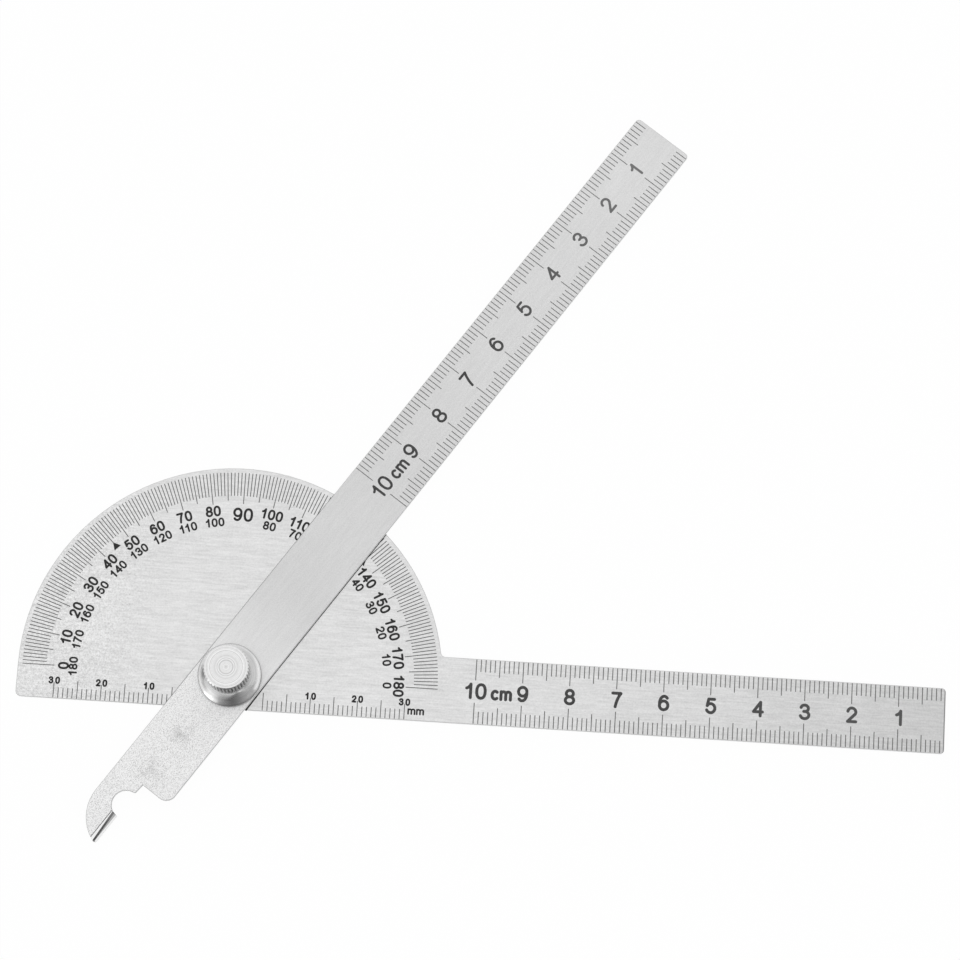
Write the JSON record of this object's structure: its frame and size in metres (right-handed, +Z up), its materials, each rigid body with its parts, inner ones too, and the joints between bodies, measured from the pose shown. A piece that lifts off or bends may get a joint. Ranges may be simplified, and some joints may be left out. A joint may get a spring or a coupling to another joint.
{
  "type": "adjustable angle gauge",
  "caption": "Steel protractor head with a fixed millimetre rule and a hooked swinging rule, clamped at the pivot by a knurled thumb nut.",
  "frame": {"origin": "on the pivot axis, at the foot of the pivot stud's head, which is the lowest point when the gauge lies on its back", "axes": "+X along the fixed rule towards its zero end, +Z up out of the graduated faces along the pivot, +Y towards the round rim of the head"},
  "size_m": [0.197, 0.1654, 0.0159],
  "materials": {
    "plate_steel": "brushed lengthwise, with etched and blackened graduations",
    "arm_steel": "satin, with etched graduations",
    "stud_steel": "turned",
    "washer_steel": "stamped and tumbled",
    "nut_plating": "turned, knurled and nickel plated"
  },
  "bodies": {
    "head": {"protractor_plate": "plate_steel", "pivot_stud": "stud_steel"},
    "arm": {"swing_arm": "arm_steel"},
    "nut_seat": {"washer": "washer_steel"},
    "nut": {"thumb_nut": "nut_plating"}
  },
  "joints": [
    {"name": "arm_swing", "type": "hinge", "parent": "head", "child": "arm", "pos_m": [0, 0, 0.00235], "axis": [0, 0, 1], "continuous": true},
    {"name": "nut_lift", "type": "slide", "parent": "head", "child": "nut_seat", "axis": [0, 0, 1], "range_m": [0, 0.0035]},
    {"name": "nut_turn", "type": "hinge", "parent": "nut_seat", "child": "nut", "pos_m": [0, 0, 0.00335], "axis": [0, 0, 1], "range_deg": [0, 1800]}
  ],
  "couplings": [
    {"joint": "nut_lift", "follows": "nut_turn", "m_per_rad": 0.0001114}
  ]
}
